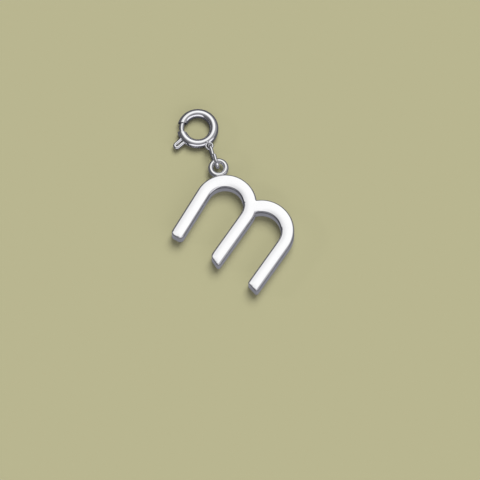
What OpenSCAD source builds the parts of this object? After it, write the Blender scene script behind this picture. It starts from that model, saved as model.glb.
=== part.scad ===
// A silver initial pendant, lying face up: a lower-case letter cast as a rounded bar,
// a ring soldered to its shoulder, an oval jump ring, and a spring-ring clasp.
// Units are millimetres. X runs across the letter, Y up its legs, Z out of its face.
// The origin is the middle of the whole pendant, on the surface that it lies on.

/* [Letter] */
// Thickness of the letter, from its flat back to its face
letter_t = 2.0; // [1.6:0.1:3.0]
// Width of the bar along the first arch and its two legs
stroke_w = 2.02; // [1.5:0.02:2.2]
// Width of the bar along the second arch and the last leg
last_stroke_w = 2; // [1.5:0.02:2.2]
// Rounding of the face's edges
edge_r = 0.28; // [0.15:0.01:0.45]
// Radius of the first arch, at the middle of the bar
arch_r = 3.74; // [3.4:0.02:4.2]
// Radius of the second arch, at the middle of the bar
last_arch_r = 3.94; // [3.6:0.02:4.3]
// How far the second arch springs below the first
last_arch_drop = 0.45; // [0.3:0.01:0.9]
// How far round the second arch runs before it is inside the first
last_arch_sweep = 150; // [146:1:154]
// Distance from the middle leg to the last leg
leg_pitch = 7.03; // [6.8:0.01:7.5]

/* [Legs] */
// Length of the first leg, from its arch to its foot
first_leg = 8.18; // [6.5:0.02:11]
// Lean of the first leg, its foot towards the middle leg
first_leg_lean = 3.4; // [0:0.1:5]
// Radius of the first foot's two corners
foot_r = 0.66; // [0.5:0.01:0.7]
// Length of the middle leg
middle_leg = 8.42; // [6.5:0.02:11]
// Slant of the middle foot
middle_foot_slant = 22; // [0:1:35]
// Size of the middle foot's rounded corner, along each of its two edges
foot_corner = 0.55; // [0.3:0.05:0.8]
// Length of the last leg
last_leg = 8.26; // [6.5:0.02:11]
// Slant of the last foot
last_foot_slant = 15; // [0:1:35]

/* [Soldered ring] */
// Outside diameter of the ring on the letter's shoulder
ring_d = 3.06; // [2.7:0.02:3.6]
// Wire of that ring
ring_wire = 0.78; // [0.5:0.02:0.8]
// Where round the first arch the ring sits
ring_angle = 133.5; // [125:0.1:140]
// How deep the ring's wire is sunk into the arch
ring_sunk = 0.12; // [0.05:0.01:0.25]
// Width of the solder that fills the corners between ring and arch
joint_w = 1.04; // [0.8:0.02:1.3]
// Height of the ring's middle above the letter's back
ring_z = 1.05; // [1.0:0.01:1.15]

/* [Jump ring] */
// Outside length of the oval jump ring
jump_l = 4.08; // [3.9:0.02:4.6]
// Outside height of the oval jump ring, standing on edge
jump_h = 2.12; // [2.0:0.02:2.5]
// Wire of the jump ring
jump_wire = 0.5; // [0.4:0.01:0.52]
// Width of the cut where it was closed
jump_cut = 0.05; // [0.03:0.01:0.08]
// How far its end stops short of the middle of the soldered ring
jump_short = 0.22; // [0.1:0.01:0.3]
// Heading of the jump ring, from the letter to the clasp
jump_heading = 145.2; // [140:0.1:150]

/* [Clasp ring] */
// Outside diameter of the clasp
clasp_d = 6.2; // [5.8:0.1:7]
// Diameter of the clasp's tube
tube_d = 1.34; // [1.25:0.01:1.4]
// Wall of the tube
tube_wall = 0.24; // [0.2:0.01:0.26]
// Width of the clasp's mouth, between its parallel ends
mouth_w = 1.43; // [1.2:0.01:1.6]
// Where round the clasp the mouth's middle is, counted from the eye
mouth_angle = 237; // [234:0.1:240]
// Heading from the eye to the middle of the clasp
clasp_heading = 154.6; // [150:0.1:160]

/* [Clasp eye] */
// Hole of the small eye that the jump ring goes through
eye_hole = 0.72; // [0.7:0.01:0.78]
// Wire of the eye
eye_wire = 0.3; // [0.26:0.01:0.34]
// How far the eye's hole stands out from the tube's outer side
eye_out = 0.28; // [0.26:0.01:0.34]
// Height of the eye's middle
eye_z = 1.08; // [1.05:0.01:1.12]
// Bead of solder that holds the eye
solder_d = 0.6; // [0.54:0.01:0.66]

/* [Clasp bolt] */
// Wire of the bolt
bolt_d = 0.62; // [0.5:0.01:0.66]
// Angle by which the closed bolt reaches into the tube's far end
bolt_reach_angle = 3.5; // [2:0.5:6]
// Angle by which the open bolt is drawn back behind the mouth
bolt_back_angle = 2.4; // [0:0.1:3]
// Where round the clasp the closed bolt's trigger stands out, counted from the eye
trigger_angle = 280.5; // [279:0.5:283]
// Wire of the trigger
trigger_wire = 0.56; // [0.4:0.01:0.58]
// Slit between the trigger's two legs
trigger_slit = 0.06; // [0.04:0.01:0.1]
// How far the trigger stands out of the clasp
trigger_out = 1.64; // [1.2:0.02:2.2]
// Room round the trigger in its slot
slot_play = 0.06; // [0.04:0.01:0.08]

/* [Hidden] */
$fn = 64;
cut = 5;

function toward(angle) = [cos(angle), sin(angle)];

last_x = arch_r + leg_pitch;
last_arch_x = last_x - last_arch_r;
ring_r = (ring_d - ring_wire) / 2;
joint_h = 0.7 * ring_wire;
ring_pos = (arch_r + stroke_w / 2 - ring_sunk + ring_d / 2) * toward(ring_angle);

jump_a = (jump_l - jump_wire) / 2;
jump_b = (jump_h - jump_wire) / 2;
jump_pos = ring_pos + (jump_a + jump_short) * toward(jump_heading);
eye_pos = jump_pos + jump_a * toward(jump_heading);

clasp_r = (clasp_d - tube_d) / 2;
tube_z = tube_d / 2;
eye_at = clasp_d / 2 + eye_out;
clasp_pos = eye_pos + eye_at * toward(clasp_heading);
clasp_turn = clasp_heading + 180;
mouth_half = asin(mouth_w / 2 / clasp_r);
bolt_from = mouth_angle - mouth_half - bolt_reach_angle;
bolt_travel = bolt_reach_angle + 2 * mouth_half + bolt_back_angle;
trigger_half = trigger_wire + trigger_slit / 2;
slot_inner_r = clasp_r + tube_d / 2 - tube_wall;
slot_side = asin((trigger_half + slot_play) / slot_inner_r);

// The reach of the pendant each way, from the middle of the first arch.
low_foot = [
  -first_leg,
  -middle_leg - stroke_w / 2 * tan(middle_foot_slant),
  -last_arch_drop - last_leg - last_stroke_w / 2 * tan(last_foot_slant)
];
x_low = clasp_pos[0] - clasp_d / 2;
x_high = last_x + last_stroke_w / 2;
y_low = min(low_foot);
y_high = clasp_pos[1] + clasp_d / 2;

// The bar's section, with its face's edges rounded. It stands on Y = 0, centred on X = 0.
module bar_section(width) {
  translate([-width / 2, 0]) square([width, letter_t - edge_r]);
  translate([edge_r - width / 2, 0]) square([width - 2 * edge_r, letter_t]);
  for (side = [-1, 1])
    translate([side * (width / 2 - edge_r), letter_t - edge_r]) circle(edge_r);
}

// The outer part of a rounded foot's section, from its corner's middle outwards.
module foot_section() {
  square([foot_r, letter_t - edge_r]);
  square([foot_r - edge_r, letter_t]);
  translate([foot_r - edge_r, letter_t - edge_r]) circle(edge_r);
}

module leg(width, length) {
  rotate([90, 0, 0]) linear_extrude(length) bar_section(width);
}

module arch(radius, sweep, width) {
  rotate_extrude(angle = sweep) translate([radius, 0]) bar_section(width);
}

// A foot with two round corners, below a leg's end.
module round_foot(width) {
  flat = width / 2 - foot_r;
  for (corner = [[flat, -90], [-flat, 180]])
    translate([corner[0], 0, 0]) rotate([0, 0, corner[1]])
      rotate_extrude(angle = 90) intersection() {
        foot_section();
        square([foot_r, letter_t]);
      }
  translate([flat, 0, 0]) rotate([90, 0, -90]) linear_extrude(2 * flat) intersection() {
    foot_section();
    square([foot_r, letter_t]);
  }
}

// A leg with its foot cut off on a slant, longer on the right.
module slant_leg(width, length, slant) {
  difference() {
    leg(width, length + width);
    translate([0, -length, -cut]) rotate([0, 0, -slant])
      translate([-cut, -cut, 0]) cube([2 * cut, cut, 3 * cut]);
  }
}

module first_leg_bar() {
  rotate([0, 0, first_leg_lean]) translate([-arch_r, 0, 0]) {
    leg(stroke_w, first_leg - foot_r);
    translate([0, foot_r - first_leg, 0]) round_foot(stroke_w);
  }
}

// What is taken off the middle foot's left corner, which is round.
module corner_cut() {
  corner_half = 45 + middle_foot_slant / 2;
  half_chord = foot_corner * sin(corner_half);
  corner_r = 1.12 * foot_corner * tan(corner_half);
  corner_y = -middle_leg + stroke_w / 2 * tan(middle_foot_slant);
  translate([-stroke_w / 2, corner_y, -cut]) rotate([0, 0, -corner_half])
    translate([0, foot_corner * cos(corner_half), 0]) difference() {
      translate([-cut, -cut, 0]) cube([2 * cut, cut, 3 * cut]);
      translate([0, sqrt(pow(corner_r, 2) - pow(half_chord, 2)), 0]) cylinder(h = 3 * cut, r = corner_r);
    }
}

module middle_leg_bar() {
  translate([arch_r, 0, 0]) difference() {
    slant_leg(stroke_w, middle_leg, middle_foot_slant);
    corner_cut();
  }
}

module last_leg_bar() {
  translate([last_x, -last_arch_drop, 0]) slant_leg(last_stroke_w, last_leg, last_foot_slant);
}

// A torus, or a stretch of one, round the Z axis.
module wire_arc(radius, wire, from = 0, sweep = 360) {
  rotate([0, 0, from]) rotate_extrude(angle = sweep) translate([radius, 0]) circle(d = wire);
}

module soldered_ring() {
  translate([ring_pos[0], ring_pos[1], ring_z]) wire_arc(ring_r, ring_wire);
  rotate([0, 0, ring_angle]) translate([arch_r + stroke_w / 2, 0, ring_z - joint_h / 2])
    cylinder(h = joint_h, d = joint_w);
}

module initial_letter() {
  color([0.84, 0.85, 0.87]) {
    arch(arch_r, 180 + first_leg_lean, stroke_w);
    translate([last_arch_x, -last_arch_drop, 0]) arch(last_arch_r, last_arch_sweep, last_stroke_w);
    first_leg_bar();
    middle_leg_bar();
    last_leg_bar();
    soldered_ring();
  }
}

// A long oval with round ends. One of its long sides, the upper, is cut in the middle.
module oval_ring() {
  end_x = jump_a - jump_b;
  for (end = [0, 180])
    rotate([0, 0, end]) translate([end_x, 0, 0]) wire_arc(jump_b, jump_wire, -90, 180);
  translate([-end_x, -jump_b, 0]) rotate([0, 90, 0]) cylinder(h = 2 * end_x, d = jump_wire);
  for (end = [-end_x, jump_cut / 2])
    translate([end, jump_b, 0]) rotate([0, 90, 0]) cylinder(h = end_x - jump_cut / 2, d = jump_wire);
}

module jump_ring() {
  color([0.82, 0.83, 0.85])
    translate([jump_pos[0], jump_pos[1], jump_h / 2]) rotate([90, 0, jump_heading]) oval_ring();
}

// Puts a piece of the clasp in place: its own X axis points from the ring's middle to the eye.
module at_clasp() {
  translate([clasp_pos[0], clasp_pos[1], tube_z]) rotate([0, 0, clasp_turn]) children();
}

module trigger_slot() {
  rotate([0, 0, trigger_angle - slot_side]) rotate_extrude(angle = bolt_travel + 2 * slot_side)
    translate([clasp_r, -trigger_wire / 2 - slot_play]) square([tube_d, trigger_wire + 2 * slot_play]);
}

// The gap in the tube, as wide outside as inside.
module mouth_gap() {
  rotate([0, 0, mouth_angle]) translate([0, -mouth_w / 2, -tube_d])
    cube([clasp_d, mouth_w, 2 * tube_d]);
}

module clasp_ring() {
  color([0.80, 0.81, 0.83]) at_clasp() difference() {
    union() {
      wire_arc(clasp_r, tube_d);
      translate([eye_at, 0, eye_z - tube_z]) wire_arc((eye_hole + eye_wire) / 2, eye_wire);
      translate([eye_at - (eye_hole + solder_d) / 2 - eye_wire / 5, 0, eye_z - tube_z - eye_wire / 3])
        sphere(d = solder_d);
    }
    wire_arc(clasp_r, tube_d - 2 * tube_wall);
    mouth_gap();
    trigger_slot();
  }
}

// The trigger is the bolt's wire, bent out through the slot and back in a tight hairpin.
module trigger() {
  leg_y = (trigger_wire + trigger_slit) / 2;
  bend_x = clasp_d / 2 + trigger_out - trigger_half;
  for (side = [-1, 1])
    translate([clasp_r, side * leg_y, 0]) rotate([0, 90, 0])
      cylinder(h = bend_x - clasp_r, d = trigger_wire);
  translate([bend_x, 0, 0]) wire_arc(leg_y, trigger_wire, -90, 180);
}

module clasp_bolt() {
  bolt_to = trigger_angle + slot_side - 2;
  color([0.86, 0.87, 0.88]) at_clasp() {
    wire_arc(clasp_r, bolt_d, bolt_from, bolt_to - bolt_from);
    rotate([0, 0, trigger_angle]) trigger();
  }
}

// Sets the pendant's middle over the origin.
module centred() {
  translate([-(x_low + x_high) / 2, -(y_low + y_high) / 2, 0]) children();
}

centred() initial_letter();
centred() jump_ring();
centred() clasp_ring();
centred() clasp_bolt();
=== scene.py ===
import math

import bmesh
import bpy
from mathutils import Matrix, Vector
from mathutils.bvhtree import BVHTree


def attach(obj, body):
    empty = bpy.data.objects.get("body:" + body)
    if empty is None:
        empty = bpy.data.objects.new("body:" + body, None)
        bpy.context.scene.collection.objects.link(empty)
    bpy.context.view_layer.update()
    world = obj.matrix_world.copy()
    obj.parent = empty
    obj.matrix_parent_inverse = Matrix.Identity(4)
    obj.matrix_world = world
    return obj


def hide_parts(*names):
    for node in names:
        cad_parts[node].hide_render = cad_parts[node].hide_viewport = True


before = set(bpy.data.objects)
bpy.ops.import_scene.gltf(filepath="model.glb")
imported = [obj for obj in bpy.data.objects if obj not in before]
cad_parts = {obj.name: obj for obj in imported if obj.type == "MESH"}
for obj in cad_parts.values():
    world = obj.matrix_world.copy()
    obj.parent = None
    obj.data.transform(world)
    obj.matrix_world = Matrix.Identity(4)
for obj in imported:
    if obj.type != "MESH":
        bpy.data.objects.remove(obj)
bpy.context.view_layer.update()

# The cast letter. It is silver, poured as one flat-backed bar: a first arch with a leaning
# leg, a middle leg, and a second arch that springs from it. Its feet are sawn off on a
# slant and their corners filed round. All sizes are in millimetres and degrees.
MM = 0.001
letter_place = Vector((0.87195, -1.10443, 0))
letter_t = 2.0
stroke_w, last_stroke_w = 2.02, 2.0
first_arch, last_arch = Vector((0, 0, 0)), Vector((6.83, -0.45, 0))
arch_r, last_arch_r = 3.74, 3.94
last_sweep, arch_step = 150, 1.5
first_leg, first_lean = 8.18, 3.4
middle_leg, middle_slant = 8.42, 22
last_leg, last_slant = 8.26, 15
sawn_off, leg_slack = 1.0, 0.3
foot_corners = (0.66, 0.66, 0.607, 0.563, 0.29, 0.495)
crotch_round = 0.12
corner_turn, crotch_turn = 0.6, -0.3
weld = 0.0005


def verts_of(grown):
    return [v for v in grown["geom"] if isinstance(v, bmesh.types.BMVert)]


def faces_of(grown):
    return [f for f in grown["geom"] if isinstance(f, bmesh.types.BMFace)]


def with_edges(faces):
    """Faces together with their corners and edges, each once and in a fixed order."""
    corners = dict.fromkeys(v for f in faces for v in f.verts)
    edges = dict.fromkeys(e for f in faces for e in f.edges)
    return [*corners, *edges, *faces]


def bent_bar(middle, radius, width, sweep, right_leg, left_leg):
    """A flat strip bent into an arch about its middle, with its legs drawn out."""
    bar = bmesh.new()
    ends = [bar.verts.new(middle + Vector((radius + side * width / 2, 0, 0))) for side in (-1, 1)]
    start = bar.edges.new(ends)
    arch = bmesh.ops.spin(
        bar, geom=[*ends, start], cent=middle, axis=(0, 0, 1),
        angle=math.radians(sweep), steps=round(sweep / arch_step),
    )
    far = [e for e in arch["geom_last"] if isinstance(e, bmesh.types.BMEdge)]
    down = Vector((0, -1, 0))
    leaning = Matrix.Rotation(math.radians(sweep - 180), 3, "Z") @ down
    for edges, length, along in (([start], right_leg, down), (far, left_leg, leaning)):
        if length:
            leg = bmesh.ops.extrude_edge_only(bar, edges=edges)
            bmesh.ops.translate(bar, verts=verts_of(leg), vec=along * length)
    return bar


def cut_foot(bar, middle, leg_x, leg, slant):
    """Saws a leg off on a slant, longer on its right."""
    leg_faces = [
        f for f in bar.faces if abs(f.calc_center_median().x - middle.x - leg_x) < leg_slack
    ]
    slanted = math.radians(slant)
    bmesh.ops.bisect_plane(
        bar, geom=with_edges(leg_faces), plane_co=middle + Vector((leg_x, -leg, 0)),
        plane_no=(-math.sin(slanted), -math.cos(slanted), 0), clear_outer=True,
    )


def thicken(bar, height):
    block = bmesh.ops.extrude_face_region(bar, geom=bar.faces[:])
    bmesh.ops.translate(bar, verts=verts_of(block), vec=(0, 0, height))
    bmesh.ops.recalc_face_normals(bar, faces=bar.faces[:])


def as_object(name, shape):
    mesh = bpy.data.meshes.new(name)
    shape.to_mesh(mesh)
    shape.free()
    made = bpy.data.objects.new(name, mesh)
    bpy.context.scene.collection.objects.link(made)
    return made


def melted(kept, added, how="UNION"):
    """Two shapes made one, as in the mould or under solder, or the second cut out of the first."""
    first, second = as_object("first", kept), as_object("second", added)
    melt = first.modifiers.new("melt", "BOOLEAN")
    melt.object, melt.operation, melt.solver = second, how, "EXACT"
    done = bmesh.new()
    done.from_object(first, bpy.context.evaluated_depsgraph_get())
    for used in (first, second):
        mesh = used.data
        bpy.data.objects.remove(used)
        bpy.data.meshes.remove(mesh)
    bmesh.ops.remove_doubles(done, verts=done.verts[:], dist=weld)
    return done


def round_off(shape, edges, size, steps):
    bmesh.ops.bevel(
        shape, geom=edges, offset=size, offset_type="OFFSET", segments=steps,
        profile=0.5, affect="EDGES", clamp_overlap=False, material=-1,
    )


def is_level(face):
    return abs(face.normal.z) > 0.99


first_bar = bent_bar(
    first_arch, arch_r, stroke_w, 180 + first_lean, middle_leg + sawn_off, first_leg
)
cut_foot(first_bar, first_arch, arch_r, middle_leg, middle_slant)
thicken(first_bar, letter_t)
last_bar = bent_bar(last_arch, last_arch_r, last_stroke_w, last_sweep, last_leg + sawn_off, 0)
cut_foot(last_bar, last_arch, last_arch_r, last_leg, last_slant)
thicken(last_bar, letter_t)
letter = melted(first_bar, last_bar)

flat_seams = [e for e in letter.edges if all(is_level(f) for f in e.link_faces)]
bmesh.ops.dissolve_edges(letter, edges=flat_seams)
uprights = [
    (e, e.calc_face_angle_signed())
    for e in letter.edges
    if len(e.link_faces) == 2 and abs(e.verts[0].co.z - e.verts[1].co.z) > letter_t / 2
]
corners = sorted((e for e, turn in uprights if turn > corner_turn), key=lambda e: e.verts[0].co.x)
crotches = [e for e, turn in uprights if turn < crotch_turn]
for edge, size in zip(corners, foot_corners):
    round_off(letter, [edge], size, 14)
round_off(letter, crotches, crotch_round, 6)
walls = letter.copy()
bmesh.ops.delete(walls, geom=[f for f in walls.faces if is_level(f)], context="FACES_ONLY")
walls_tree = BVHTree.FromBMesh(walls)
walls.free()

# The ring on the shoulder. A round wire closed into a ring stands level with the middle
# of the letter's side, and silver solder fills the corners where it meets the first arch.
ring_d, ring_wire = 3.06, 0.78
ring_angle, ring_sunk, ring_z = 133.5, 0.12, 1.05
joint_w, joint_h, joint_round = 1.04, 0.54, 0.16


def heading(angle, length=1.0):
    return Vector((math.cos(math.radians(angle)), math.sin(math.radians(angle)), 0)) * length


def sharp_edges(shape, turn):
    """The edges that turn by more than an angle in radians."""
    return [e for e in shape.edges if e.calc_face_angle(0) > turn]


def wire_loop(radius, wire, turns=96, around=32):
    """A round wire bent round the Z axis and closed."""
    loop = bmesh.new()
    bmesh.ops.create_circle(
        loop, segments=around, radius=wire / 2,
        matrix=Matrix.Translation((radius, 0, 0)) @ Matrix.Rotation(math.pi / 2, 4, "X"),
    )
    bmesh.ops.spin(
        loop, geom=[*loop.verts, *loop.edges], cent=(0, 0, 0), axis=(0, 0, 1),
        angle=2 * math.pi, steps=turns, use_merge=True,
    )
    bmesh.ops.remove_doubles(loop, verts=loop.verts[:], dist=weld)
    bmesh.ops.recalc_face_normals(loop, faces=loop.faces[:])
    return loop


arch_outside = arch_r + stroke_w / 2
ring_level = Vector((0, 0, ring_z))
ring_at = heading(ring_angle, arch_outside - ring_sunk + ring_d / 2) + ring_level
ring = wire_loop((ring_d - ring_wire) / 2, ring_wire)
bmesh.ops.translate(ring, verts=ring.verts[:], vec=ring_at)
solder = bmesh.new()
bmesh.ops.create_cone(
    solder, cap_ends=True, segments=48, radius1=joint_w / 2, radius2=joint_w / 2, depth=joint_h,
    matrix=Matrix.Translation(heading(ring_angle, arch_outside) + ring_level),
)
round_off(solder, sharp_edges(solder, 1), joint_round, 6)
letter = melted(letter, melted(ring, solder))

# The letter's finish. Its edges are rounded, steeper on the walls inside the arches and
# nearly sharp at the feet. Polishing wears the soft silver of the face down towards the
# sides of the bar, most of all on the left, and leaves slow waves and fine hairlines.
face_round, back_round, back_rim = 0.27, 0.1, 0.02
face_grid, upper_part = 0.16, 1.5
face_crown, left_crown, crown_reach = 0.05, 0.13, 0.95
left_side = heading(214)
eased_reach, down_from, down_over = 1.0, 0.3, 0.5
steep_in, steep_down = 0.15, 0.27
feet_below, sole_round, sole_kept = -6, 0.08, 0.6
hairline_dullness, polish_depth = 0.05, 0.00002

for height, size, steps in ((letter_t, face_round, 12), (0, back_round, 4)):
    at_height = [f for f in letter.faces if abs(f.calc_center_median().z - height) < 0.01]
    flat = max(at_height, key=lambda f: f.calc_area())
    round_off(letter, flat.edges[:], size, steps)
flat_back = max((f for f in letter.faces if f.normal.z < -0.99), key=lambda f: f.calc_area())
bmesh.ops.inset_region(letter, faces=[flat_back], thickness=back_rim, use_even_offset=True)


def cut_fine(shape, faces, side):
    """Cuts a flat face across into strips, so that it can be worn down."""
    reach = sorted(v.co.dot(side) for f in faces for v in f.verts)
    start, width = reach[0], reach[-1] - reach[0]
    strips = int(width / face_grid)
    for i in range(1, strips):
        at = start + width * i / strips
        crossed = [
            f for f in faces
            if min(v.co.dot(side) for v in f.verts) < at < max(v.co.dot(side) for v in f.verts)
        ]
        kept = set(faces) - set(crossed)
        parts = bmesh.ops.bisect_plane(
            shape, geom=with_edges(crossed), plane_co=side * at, plane_no=side, dist=weld
        )
        faces = [*(f for f in faces if f in kept), *faces_of(parts)]
    return faces


def nearest_wall(point):
    """The way out of the metal, midway where walls meet, and the distance to the wall."""
    distance = walls_tree.find_nearest(point)[3]
    meeting = {
        tuple(round(part, 3) for part in normal): normal
        for _, normal, _, _ in walls_tree.find_nearest_range(point, distance + weld)
    }
    return sum(meeting.values(), Vector((0, 0, 0))).normalized(), distance


face = [max((f for f in letter.faces if f.normal.z > 0.99), key=lambda f: f.calc_area())]
for side in (Vector((1, 0, 0)), Vector((0, 1, 0))):
    face = cut_fine(letter, face, side)

# The walls that face down the letter are those inside the arches and the soles of the feet.
for vert in letter.verts:
    if vert.co.z <= upper_part:
        continue
    out, distance = nearest_wall(Vector((vert.co.x, vert.co.y, letter_t / 2)))
    facing_down = min(1, max(0, -out.y - down_from) / down_over)
    is_foot = vert.co.y < feet_below
    if facing_down and distance < eased_reach:
        fall = (letter_t - vert.co.z) / face_round
        inset = min(distance, face_round)
        if is_foot:
            new_inset, new_drop = inset * sole_round / face_round, fall * sole_round
        else:
            new_inset, new_drop = steep_in * (1 - min(1, fall)), fall * steep_down
        fading = 1 - max(0, distance - face_round) / (eased_reach - face_round)
        vert.co += out * facing_down * (inset - new_inset) * fading
        vert.co.z += facing_down * (letter_t - new_drop - vert.co.z)
    left_wear = left_crown * max(0, out.dot(left_side))
    if is_foot:
        left_wear *= 1 - sole_kept * facing_down
    vert.co.z -= (face_crown + left_wear) * max(0, 1 - distance / crown_reach) ** 2
letter_to_place = Matrix.Scale(MM, 4) @ Matrix.Translation(letter_place)
bmesh.ops.transform(letter, verts=letter.verts[:], matrix=letter_to_place)


def finished(name, shape, material, body, node):
    """A piece at its place, smooth but for its creases, of its own silver, on its body."""
    piece = as_object(name, shape)
    piece.data.shade_smooth()
    piece.data.set_sharp_from_angle(angle=math.radians(40))
    piece.data.materials.append(material)
    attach(piece, body)
    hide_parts(node)


def worked(tree, how, *values):
    """One Math node on numbers or sockets."""
    node = tree.nodes.new("ShaderNodeMath")
    node.operation = how
    for socket, value in zip(node.inputs, values):
        if isinstance(value, (int, float)):
            socket.default_value = value
        else:
            tree.links.new(value, socket)
    return node.outputs[0]


def polish_marks():
    """What the polishing leaves on silver: slow waves, and fine hairlines under the shine."""
    marks = bpy.data.node_groups.new("polish_marks", "ShaderNodeTree")
    sockets = marks.interface
    for name, value in (
        ("Wave Size", 0.003), ("Wave Depth", 0.5), ("Hairlines", 0.1), ("Shine", 0.06)
    ):
        added = sockets.new_socket(name, in_out="INPUT", socket_type="NodeSocketFloat")
        added.default_value = value
    for name in ("Height", "Roughness"):
        sockets.new_socket(name, in_out="OUTPUT", socket_type="NodeSocketFloat")
    nodes, links = marks.nodes, marks.links
    given, put_out = nodes.new("NodeGroupInput"), nodes.new("NodeGroupOutput")
    where = nodes.new("ShaderNodeTexCoord")
    wave = nodes.new("ShaderNodeTexNoise")
    wave.inputs["Detail"].default_value = 1.0
    links.new(where.outputs["Object"], wave.inputs["Vector"])
    links.new(worked(marks, "DIVIDE", 1.0, given.outputs["Wave Size"]), wave.inputs["Scale"])
    stretch = nodes.new("ShaderNodeMapping")
    stretch.inputs["Rotation"].default_value = (0.4, 0.3, 0.9)
    stretch.inputs["Scale"].default_value = (1.0, 0.08, 0.3)
    links.new(where.outputs["Object"], stretch.inputs["Vector"])
    grain = nodes.new("ShaderNodeTexNoise")
    grain.inputs["Scale"].default_value = 9000
    grain.inputs["Detail"].default_value = 3.0
    links.new(stretch.outputs[0], grain.inputs["Vector"])
    waves = worked(marks, "MULTIPLY", wave.outputs["Fac"], given.outputs["Wave Depth"])
    lines = worked(marks, "MULTIPLY", grain.outputs["Fac"], given.outputs["Hairlines"])
    links.new(worked(marks, "ADD", waves, lines), put_out.inputs["Height"])
    dulled = worked(
        marks, "MULTIPLY_ADD", grain.outputs["Fac"], hairline_dullness, given.outputs["Shine"]
    )
    links.new(dulled, put_out.inputs["Roughness"])
    return marks


def silver(name, tone, wave_size, wave_depth, hairlines, shine):
    metal = bpy.data.materials.new(name)
    metal.use_nodes = True
    nodes, links = metal.node_tree.nodes, metal.node_tree.links
    shader = nodes["Principled BSDF"]
    shader.inputs["Base Color"].default_value = (*tone, 1)
    shader.inputs["Metallic"].default_value = 1.0
    marks = nodes.new("ShaderNodeGroup")
    marks.node_tree = bpy.data.node_groups.get("polish_marks") or polish_marks()
    marks.inputs["Wave Size"].default_value = wave_size
    marks.inputs["Wave Depth"].default_value = wave_depth
    marks.inputs["Hairlines"].default_value = hairlines
    marks.inputs["Shine"].default_value = shine
    bump = nodes.new("ShaderNodeBump")
    bump.inputs["Strength"].default_value = 1.0
    bump.inputs["Distance"].default_value = polish_depth
    links.new(marks.outputs["Height"], bump.inputs["Height"])
    links.new(bump.outputs["Normal"], shader.inputs["Normal"])
    links.new(marks.outputs["Roughness"], shader.inputs["Roughness"])
    return metal


finished(
    "cast_letter", letter, silver("letter_polish", (0.95, 0.95, 0.955), 0.0035, 2.0, 0.02, 0.04),
    "charm", "initial_letter",
)

# The jump ring. A length of round silver wire is bent into a long oval, closed by hand
# over the shoulder ring and the clasp's eye, and its two cut ends meet a little askew.
jump_l, jump_h, jump_wire = 4.08, 2.12, 0.5
jump_cut, jump_askew, jump_end_round = 0.05, 0.1, 0.03
jump_at, jump_heading = Vector((-5.0188, 4.511, 1.06)), 145.2
askew_steps, half_turn_steps = 8, 40
wire_tone = (0.93, 0.93, 0.94)

half_high = (jump_h - jump_wire) / 2
straight = (jump_l - jump_wire) / 2 - half_high
jump = bmesh.new()
bmesh.ops.create_circle(
    jump, cap_ends=True, segments=32, radius=jump_wire / 2,
    matrix=Matrix.Translation((jump_cut / 2, jump_askew, half_high))
    @ Matrix.Rotation(math.pi / 2, 4, "Y"),
)


def drawn(shape, faces, vec):
    """The wire's end drawn on by one step."""
    grown = bmesh.ops.extrude_face_region(shape, geom=faces)
    bmesh.ops.translate(shape, verts=verts_of(grown), vec=vec)
    return faces_of(grown)


def curled(shape, faces, middle, axis, angle, steps):
    """The wire's end curled round a middle."""
    turned = bmesh.ops.spin(
        shape, geom=faces, cent=middle, axis=axis, angle=math.radians(angle), steps=steps
    )
    return [f for f in turned["geom_last"] if isinstance(f, bmesh.types.BMFace)]


def closed_up(shape):
    """Takes out what drawing left inside a wire, and turns its faces outwards."""
    bmesh.ops.remove_doubles(shape, verts=shape.verts[:], dist=weld)
    inside = [f for f in shape.faces if all(len(e.link_faces) > 2 for e in f.edges)]
    bmesh.ops.delete(shape, geom=inside, context="FACES_ONLY")
    bmesh.ops.recalc_face_normals(shape, faces=shape.faces[:])


def eased_side(shape, faces):
    """The half side next to the cut, which eases over sideways as it runs."""
    eased = [(1 - math.cos(math.pi * i / askew_steps)) / 2 for i in range(askew_steps + 1)]
    along = (straight - jump_cut / 2) / askew_steps
    for before, after in zip(eased, eased[1:]):
        faces = drawn(shape, faces, Vector((along, -jump_askew * (after - before), 0)))
    return faces


end = eased_side(jump, jump.faces[:])
end = curled(jump, end, (straight, 0, 0), (0, 1, 0), 180, half_turn_steps)
end = drawn(jump, end, Vector((-2 * straight, 0, 0)))
end = curled(jump, end, (-straight, 0, 0), (0, 1, 0), 180, half_turn_steps)
eased_side(jump, end)
closed_up(jump)
round_off(jump, sharp_edges(jump, 1), jump_end_round, 3)
jump_to_place = (
    Matrix.Scale(MM, 4) @ Matrix.Translation(jump_at)
    @ Matrix.Rotation(math.radians(jump_heading), 4, "Z")
)
bmesh.ops.transform(jump, verts=jump.verts[:], matrix=jump_to_place)
finished(
    "oval_jump_ring", jump, silver("wire_polish", wire_tone, 0.002, 0.5, 0.05, 0.07),
    "charm", "jump_ring",
)

# The clasp's ring. A thin silver tube is bent nearly round, its ends sawn parallel to leave
# the mouth, and its outer side slotted for the trigger. The small eye is a closed wire
# ring set level on the tube by a bright bead of solder.
clasp_d, tube_d, tube_wall = 6.2, 1.34, 0.19
clasp_r = (clasp_d - tube_d) / 2
clasp_at, clasp_turn = Vector((-9.542, 6.9824, tube_d / 2)), 334.6
mouth_w, mouth_angle, saw_round = 1.43, 237, 0.03
eye_hole, eye_wire, eye_out, eye_z = 0.72, 0.3, 0.28, 1.08
solder_d, solder_lift = 0.6, 0.02
trigger_angle, trigger_wire, trigger_slit, slot_play = 280.5, 0.56, 0.06, 0.06
bolt_travel = 40.12

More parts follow.
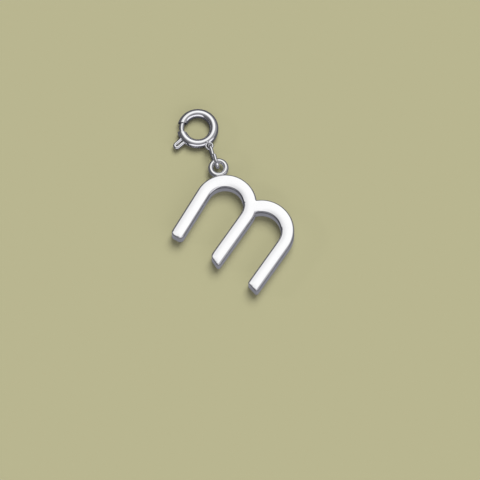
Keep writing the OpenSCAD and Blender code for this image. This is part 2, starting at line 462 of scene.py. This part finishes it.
tube = melted(
    wire_loop(clasp_r, tube_d, 192, 56), wire_loop(clasp_r, tube_d - 2 * tube_wall, 192, 40),
    "DIFFERENCE",
)
mouth = bmesh.new()
bmesh.ops.create_cube(
    mouth, size=1,
    matrix=Matrix.Rotation(math.radians(mouth_angle), 4, "Z")
    @ Matrix.Translation((clasp_r, 0, 0)) @ Matrix.Diagonal((2 * tube_d, mouth_w, 2 * tube_d, 1)),
)
tube = melted(tube, mouth, "DIFFERENCE")

slot_half = trigger_wire / 2 + slot_play
slot_side = math.degrees(math.asin(
    (trigger_wire + trigger_slit / 2 + slot_play) / (clasp_r + tube_d / 2 - tube_wall)
))
slot = bmesh.new()
bmesh.ops.create_grid(
    slot, x_segments=1, y_segments=1, size=0.5,
    matrix=Matrix.Rotation(math.radians(trigger_angle - slot_side), 4, "Z")
    @ Matrix.Translation((clasp_d / 2, 0, 0)) @ Matrix.Rotation(math.pi / 2, 4, "X")
    @ Matrix.Diagonal((tube_d, 2 * slot_half, 1, 1)),
)
bmesh.ops.spin(
    slot, geom=[*slot.verts, *slot.edges, *slot.faces], cent=(0, 0, 0), axis=(0, 0, 1),
    angle=math.radians(bolt_travel + 2 * slot_side), steps=60,
)
bmesh.ops.recalc_face_normals(slot, faces=slot.faces[:])
tube = melted(tube, slot, "DIFFERENCE")
round_off(tube, sharp_edges(tube, 0.9), saw_round, 3)

eye_at, eye_level = clasp_d / 2 + eye_out, eye_z - tube_d / 2
eye = wire_loop((eye_hole + eye_wire) / 2, eye_wire, 64, 24)
bmesh.ops.translate(eye, verts=eye.verts[:], vec=(eye_at, 0, eye_level))
bead = bmesh.new()
bead_at = (eye_at - (eye_hole + solder_d) / 2, 0, eye_level + solder_lift)
bmesh.ops.create_uvsphere(
    bead, u_segments=48, v_segments=24, radius=solder_d / 2, matrix=Matrix.Translation(bead_at)
)
clasp = melted(melted(tube, eye), bead)
clasp_to_place = (
    Matrix.Scale(MM, 4) @ Matrix.Translation(clasp_at)
    @ Matrix.Rotation(math.radians(clasp_turn), 4, "Z")
)
bmesh.ops.transform(clasp, verts=clasp.verts[:], matrix=clasp_to_place)
finished(
    "clasp_tube", clasp, silver("tube_polish", wire_tone, 0.002, 0.5, 0.05, 0.05),
    "charm", "clasp_ring",
)

# The bolt. One silver wire slides round inside the tube and closes the mouth. Behind the
# mouth it is bent out through the slot and doubled back into the trigger that a nail pulls.
bolt_d, bolt_tip, tip_round = 0.72, 216.7, 0.09
trigger_out, elbow, squeezed_over = 1.64, 0.3, 0.02
leg_y = (trigger_wire + trigger_slit) / 2
bend_x = clasp_d / 2 + trigger_out - trigger_wire - trigger_slit / 2
elbow_angle = trigger_angle - math.degrees((leg_y + elbow) / clasp_r)

bolt = bmesh.new()
bmesh.ops.create_circle(
    bolt, cap_ends=True, segments=32, radius=bolt_d / 2,
    matrix=Matrix.Rotation(math.radians(bolt_tip), 4, "Z")
    @ Matrix.Translation((clasp_r, 0, 0)) @ Matrix.Rotation(math.pi / 2, 4, "X"),
)
end = curled(bolt, bolt.faces[:], (0, 0, 0), (0, 0, 1), elbow_angle - bolt_tip, 60)
end = drawn(bolt, end, heading(elbow_angle + 90, squeezed_over))
wire_at = end[0].calc_center_median()
bmesh.ops.scale(
    bolt, verts=end[0].verts[:], vec=(trigger_wire / bolt_d,) * 3,
    space=Matrix.Translation(-wire_at),
)
wire_at = end[0].calc_center_median()
end = curled(bolt, end, wire_at + heading(elbow_angle, elbow), (0, 0, -1), 90, 12)
wire_at = end[0].calc_center_median()
outward, sideways = heading(trigger_angle), heading(trigger_angle + 90)
to_bend = outward * (bend_x - wire_at.dot(outward)) - sideways * (leg_y + wire_at.dot(sideways))
end = drawn(bolt, end, to_bend)
end = curled(bolt, end, outward * bend_x, (0, 0, 1), 180, 24)
drawn(bolt, end, -outward * (bend_x - clasp_r))
closed_up(bolt)
round_off(bolt, sharp_edges(bolt, 1.2), tip_round, 5)
bmesh.ops.transform(bolt, verts=bolt.verts[:], matrix=clasp_to_place)
finished(
    "bolt_wire", bolt, silver("bolt_polish", wire_tone, 0.002, 0.5, 0.05, 0.06),
    "bolt", "clasp_bolt",
)

# The surface that the pendant lies on: a plain, pale, matt card. Rays from the polished silver
# see painted greys in it, a painted reflection: a painted glow close by, painted shade at a few
# millimetres, paler far off, and a weaker painted glow beside the clasp than at the letter.
card_tone = (0.437, 0.42, 0.247, 1)
# Painted reflection greys that rays from the silver see in the card, by how far they travel.
painted_close_tone, painted_close_glow = (0.08, 0.08, 0.09, 1), (0.185, 0.185, 0.205, 1)
painted_shade_tone, painted_far_tone = (0.04, 0.04, 0.045, 1), (0.2, 0.2, 0.215, 1)
painted_close_to_shade, painted_shade_to_far = (0.0015, 0.0023), (0.003, 0.006)
# Where the painted glow fades, from beside the clasp to the letter, and its share at the clasp.
painted_glow_clasp_to_letter, painted_glow_at_clasp = (-0.006, -0.0035), 0.1


def smooth_step(tree, value, limits, lowest=0.0):
    """A value eased from its lowest share to 1 between two limits."""
    step = tree.nodes.new("ShaderNodeMapRange")
    step.interpolation_type = "SMOOTHSTEP"
    step.inputs["From Min"].default_value, step.inputs["From Max"].default_value = limits
    step.inputs["To Min"].default_value = lowest
    tree.links.new(value, step.inputs["Value"])
    return step.outputs["Result"]


def toned(tree, factor, first, second):
    """One colour or socket that gives way to another."""
    mix = tree.nodes.new("ShaderNodeMix")
    mix.data_type = "RGBA"
    tree.links.new(factor, mix.inputs["Factor"])
    for socket, tone in ((mix.inputs["A"], first), (mix.inputs["B"], second)):
        if isinstance(tone, tuple):
            socket.default_value = tone
        else:
            tree.links.new(tone, socket)
    return mix.outputs["Result"]


floor_mesh = bmesh.new()
bmesh.ops.create_grid(floor_mesh, x_segments=1, y_segments=1, size=2.0)
floor = as_object("floor_card", floor_mesh)
card = bpy.data.materials.new("floor_card")
card.use_nodes = True
card_tree = card.node_tree
paper = card_tree.nodes["Principled BSDF"]
paper.inputs["Roughness"].default_value = 0.9
paper.inputs["Specular IOR Level"].default_value = 0.1
# Rays from the silver see painted greys instead of the card's colour: a painted reflection with
# painted shade.
ray = card_tree.nodes.new("ShaderNodeLightPath")
in_silver, how_far = ray.outputs["Is Glossy Ray"], ray.outputs["Ray Length"]
past_painted_close = smooth_step(card_tree, how_far, painted_close_to_shade)
past_painted_shade = smooth_step(card_tree, how_far, painted_shade_to_far)
painted_reflection = toned(card_tree, past_painted_close, painted_close_tone, painted_shade_tone)
painted_reflection = toned(card_tree, past_painted_shade, painted_reflection, painted_far_tone)
card_or_painted_reflection = toned(card_tree, in_silver, card_tone, painted_reflection)
card_tree.links.new(card_or_painted_reflection, paper.inputs["Base Color"])
# A painted glow close beside the metal, seen only by rays from the silver, weaker beside the
# clasp.
spot = card_tree.nodes.new("ShaderNodeTexCoord")
painted_glow_axes = card_tree.nodes.new("ShaderNodeSeparateXYZ")
card_tree.links.new(spot.outputs["Object"], painted_glow_axes.inputs[0])
painted_glow_share = smooth_step(card_tree, painted_glow_axes.outputs["X"], painted_glow_clasp_to_letter, painted_glow_at_clasp)
painted_glow_there = worked(card_tree, "SUBTRACT", 1.0, past_painted_close)
painted_glow_there = worked(card_tree, "MULTIPLY", painted_glow_there, in_silver)
painted_glow_there = worked(card_tree, "MULTIPLY", painted_glow_there, painted_glow_share)
paper.inputs["Emission Color"].default_value = painted_close_glow
card_tree.links.new(painted_glow_there, paper.inputs["Emission Strength"])
floor.data.materials.append(card)

# The camera looks down at 70 degrees through a long lens, from in front and a little to the
# side, so that the letter lies turned in the picture.
view_turn, view_height, view_distance = 34, 70, 3
image_right, image_up, up = heading(view_turn), heading(view_turn + 90), Vector((0, 0, 1))
back = up * math.sin(math.radians(view_height)) - image_up * math.cos(math.radians(view_height))
aim = Vector((5.534, -4.0319, 0)) * MM
camera_data = bpy.data.cameras.new("camera")
camera_data.sensor_width = 36
camera_data.lens = 1500
camera_data.clip_start, camera_data.clip_end = 0.01, 20
camera = bpy.data.objects.new("camera", camera_data)
camera.location = aim + back * view_distance
camera.rotation_euler = back.to_track_quat("Z", "Y").to_euler()
bpy.context.scene.collection.objects.link(camera)
bpy.context.scene.camera = camera

# The studio: a white tent overhead that hangs towards the top of the picture, a low card in
# front, a dim one on the right and dark sides. A wide soft lamp shines from the top of the
# picture, and a small low one from the left.
horizon_light, low_light, zenith_light, right_light = 0.04, 0.09, 0.34, 0.38
front_light, tent_light, tent_fade = 1.0, 1.06, 0.2
dark_side_tone, tent_tone = (0.95, 0.94, 1.0, 1), (1.0, 1.0, 1.0, 1)
backdrop_tone = (0.72, 0.72, 0.73, 1)
world = bpy.data.worlds.new("studio")
bpy.context.scene.world = world
world.use_nodes = True
sky = world.node_tree
sky.nodes.clear()
direction = sky.nodes.new("ShaderNodeTexCoord").outputs["Generated"]


def toward(axis, low, high):
    """From 0 to 1 as the direction turns towards an axis."""
    dot = sky.nodes.new("ShaderNodeVectorMath")
    dot.operation = "DOT_PRODUCT"
    sky.links.new(direction, dot.inputs[0])
    dot.inputs[1].default_value = axis
    return smooth_step(sky, dot.outputs["Value"], (low, high))


def where_all(*masks):
    found = masks[0]
    for mask in masks[1:]:
        found = worked(sky, "MULTIPLY", found, mask)
    return found


def faded(mask):
    """A mask that takes away only a little of the tent's light."""
    return worked(sky, "ADD", 1 - tent_fade, worked(sky, "MULTIPLY", tent_fade, mask))


tent_side, front_side = image_up * 0.5 + up * 0.866, heading(view_turn - 70)
tent = where_all(
    toward(tent_side, 0.76, 0.93), faded(toward(image_right, -0.34, 0.1)),
    faded(toward(image_up, 0.08, 0.33)),
)
right_card = where_all(toward(image_right, 0.15, 0.6), toward(up, 0.1, 0.35))
front_band = worked(sky, "SUBTRACT", toward(up, 0.02, 0.12), toward(up, 0.62, 0.74))
front_card = where_all(
    toward(front_side, 0.45, 0.62), toward(-image_up, 0.22, 0.36), front_band
)
bright = worked(sky, "MULTIPLY", toward(up, 0.2, 0.4), low_light)
bright = worked(sky, "ADD", horizon_light, bright)
for glow, strength in (
    (toward(up, 0.75, 0.95), zenith_light), (right_card, right_light),
    (front_card, front_light), (tent, tent_light),
):
    bright = worked(sky, "MAXIMUM", bright, worked(sky, "MULTIPLY", glow, strength))
light = sky.nodes.new("ShaderNodeBackground")
sky.links.new(toned(sky, tent, dark_side_tone, tent_tone), light.inputs["Color"])
sky.links.new(bright, light.inputs["Strength"])
backdrop = sky.nodes.new("ShaderNodeBackground")
backdrop.inputs["Color"].default_value = backdrop_tone
pick = sky.nodes.new("ShaderNodeMixShader")
camera_ray = sky.nodes.new("ShaderNodeLightPath").outputs["Is Camera Ray"]
sky.links.new(camera_ray, pick.inputs["Fac"])
sky.links.new(light.outputs[0], pick.inputs[1])
sky.links.new(backdrop.outputs[0], pick.inputs[2])
sky.links.new(pick.outputs[0], sky.nodes.new("ShaderNodeOutputWorld").inputs["Surface"])


def lamp(name, toward_it, spread, strength):
    data = bpy.data.lights.new(name, "SUN")
    data.angle = math.radians(spread)
    data.energy = strength
    made = bpy.data.objects.new(name, data)
    made.rotation_euler = toward_it.to_track_quat("Z", "Y").to_euler()
    made.visible_glossy = False
    bpy.context.scene.collection.objects.link(made)


lamp("top_lamp", image_right * 0.3 + image_up * 0.8 + up * 1.2, 40, 2.4)
lamp("low_left_lamp", -image_right + image_up * 0.1 + up * 0.37, 3, 0.25)
bpy.context.scene.view_settings.view_transform = "Standard"
